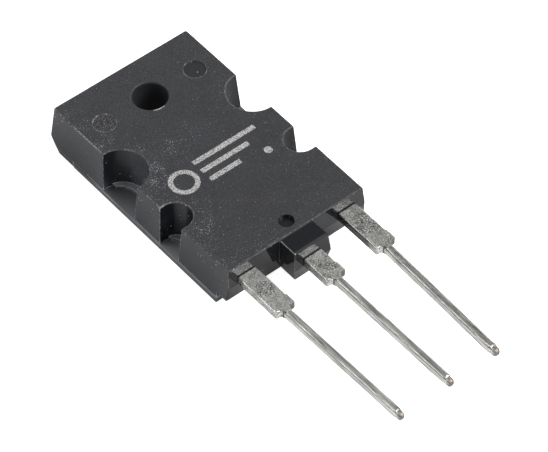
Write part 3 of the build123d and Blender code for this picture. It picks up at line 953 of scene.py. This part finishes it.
def flangeEdge(tree, zones):
    # the sheared edge of the flange: burnished above, torn below and painted darker there as shade near the
    # floor, under epoxy at the hole end
    look = tinLook
    thin = addNode(tree, "Math", [(zones["xyz"], "Z"), leadPlaces["edgeBelow"]], operation="LESS_THAN")
    upright = addNode(tree, "Math", [zones["flatness"], leadFacings["uprightZ"]], operation="LESS_THAN")
    onEdge = addNode(tree, "Math", [thin, upright], operation="MULTIPLY")
    tearLine = [zones["clouds"], leadPlaces["tearWave"], (zones["xyz"], "Z")]
    tearLine = addNode(tree, "Math", tearLine, operation="MULTIPLY_ADD")
    tornAndShaded = addNode(tree, "Math", [tearLine, leadPlaces["tearAt"]], operation="LESS_THAN")
    flashed = addNode(tree, "MapRange", {"Value": (zones["xyz"], "Y"), "From Min": -2.6, "From Max": -0.8})
    metal = colour(look["shearedEdge"])
    for amount, over in ((tornAndShaded, "tornAndShadedEdge"), (flashed, "flash")):
        metal = addNode(tree, "Mix", [amount, metal, colour(look[over])], data_type="RGBA")
    return onEdge, metal


def tinRoughness(tree, zones):
    look = tinLook
    onLead = addNode(tree, "Mix", [zones["rolled"], *look["leadRoughness"]])
    onLead = addNode(tree, "Math", [zones["grain"], look["grainRoughness"], onLead], operation="MULTIPLY_ADD")
    for dulled, most in ((zones["stub"], look["dullRoughness"]), (zones["nub"], look["nubRoughness"])):
        dulled = addNode(tree, "Math", [dulled, most], operation="MULTIPLY")
        onLead = addNode(tree, "Math", [onLead, dulled], operation="MAXIMUM")
    onPlate = addNode(tree, "Mix", [zones["rolled"], *look["plateRoughness"]])
    return addNode(tree, "Mix", [zones["onLead"], onPlate, onLead])


def tinHeight(tree, zones, crater):
    # grainy and blotched, streaked along the pins, sunk at the craters, and nearly even on the plate
    look = tinLook
    height = [zones["blotches"], look["blotchHeight"], zones["grain"]]
    height = addNode(tree, "Math", height, operation="MULTIPLY_ADD")
    height = addNode(tree, "Math", [height, zones["mottle"]], operation="MULTIPLY")
    height = addNode(tree, "Math", [zones["streaks"], zones["onPin"], height], operation="MULTIPLY_ADD")
    height = addNode(tree, "Math", [crater, look["craterDepth"], height], operation="MULTIPLY_ADD")
    depth = addNode(tree, "Mix", [zones["onLead"], look["plateBump"], 1.0])
    return addNode(tree, "Math", [height, depth], operation="MULTIPLY")


def makeTin():
    material, tree = newMaterial("hot_dipped_tin")
    look = tinLook
    zones = findZones(tree)
    tinPatterns(tree, zones)
    zoneLeads(tree, zones)
    crater, middle = drossCraters(tree, zones)
    metal = colour(look["dull"])
    for amount, over in (
        (tinTone(tree, zones), "bright"),
        (paintedShadeSides(tree, zones), "tarnishAndShade"),
        (pinBrows(tree, zones), "tarnishAndShade"),
        (agedSpots(tree, zones), "tarnishAndShade"),
        (crater, "pitAndShade"),
        (middle, "bright"),
        (shadedShoulderCorners(tree, zones), "pitAndShade"),
        (shadedLeadRoots(tree, zones), "pitAndShade"),
    ):
        metal = addNode(tree, "Mix", [amount, metal, colour(look[over])], data_type="RGBA")
    metal = addNode(tree, "Mix", [zones["onLead"], colour(look["plate"]), metal], data_type="RGBA")
    for amount, over in (
        (paintedShadeAndDulling(tree, zones), colour(look["tarnishAndShade"])),
        (cutNubs(tree, zones), colour(look["copper"])),
        flangeEdge(tree, zones),
    ):
        metal = addNode(tree, "Mix", [amount, metal, over], data_type="RGBA")
    bump = addNode(tree, "Bump", {
        "Height": tinHeight(tree, zones, crater),
        "Strength": look["bumpStrength"],
        "Distance": look["bumpDepth"],
    })
    surface = addNode(tree, "BsdfPrincipled", {
        "Base Color": metal,
        "Metallic": 1.0,
        "Roughness": tinRoughness(tree, zones),
        "Normal": bump,
    })
    addNode(tree, "OutputMaterial", {"Surface": surface})
    return material


# Inside the epoxy, where nothing shows: dull reflowed solder, a polished silicon chip with a
# bluish sheen, and drawn aluminium wire, pale with a fine grain
sealedLooks = {
    "soft_solder": {
        "pale": "#8a8b8d", "dark": "#66676a", "metallic": 1.0, "roughness": 0.45, "grain": 3,
    },
    "polished_silicon": {
        "pale": "#4a4f5c", "dark": "#3d414c", "metallic": 0.6, "roughness": 0.15, "grain": 2,
    },
    "drawn_aluminium": {
        "pale": "#cfd0d2", "dark": "#a9aaac", "metallic": 1.0, "roughness": 0.35, "grain": 6,
    },
}
sealedBump = {"strength": 0.2, "depth": 0.02 * mm}


def makeSealed(name):
    material, tree = newMaterial(name)
    look = sealedLooks[name]
    _, point = millimetres(tree)
    grain = addNode(tree, "TexNoise", {"Vector": point, "Scale": look["grain"], "Detail": 3})
    metal = addNode(tree, "Mix", [grain, colour(look["dark"]), colour(look["pale"])], data_type="RGBA")
    bump = addNode(tree, "Bump", {
        "Height": grain, "Strength": sealedBump["strength"], "Distance": sealedBump["depth"],
    })
    surface = addNode(tree, "BsdfPrincipled", {
        "Base Color": metal, "Metallic": look["metallic"], "Roughness": look["roughness"], "Normal": bump,
    })
    addNode(tree, "OutputMaterial", {"Surface": surface})
    return material


def dress(piece, material):
    piece.data.materials.clear()
    piece.data.materials.append(material)


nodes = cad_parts
dress(nodes["moulded_body"], makeEpoxy())
tin = makeTin()
for piece in (baseLead, emitterLead, header):
    dress(piece, tin)
dress(nodes["die_solder"], makeSealed("soft_solder"))
dress(nodes["silicon_die"], makeSealed("polished_silicon"))
aluminium = makeSealed("drawn_aluminium")
for name in ("base_wire", "emitter_wire_1", "emitter_wire_2"):
    dress(nodes[name], aluminium)
print("materials made")
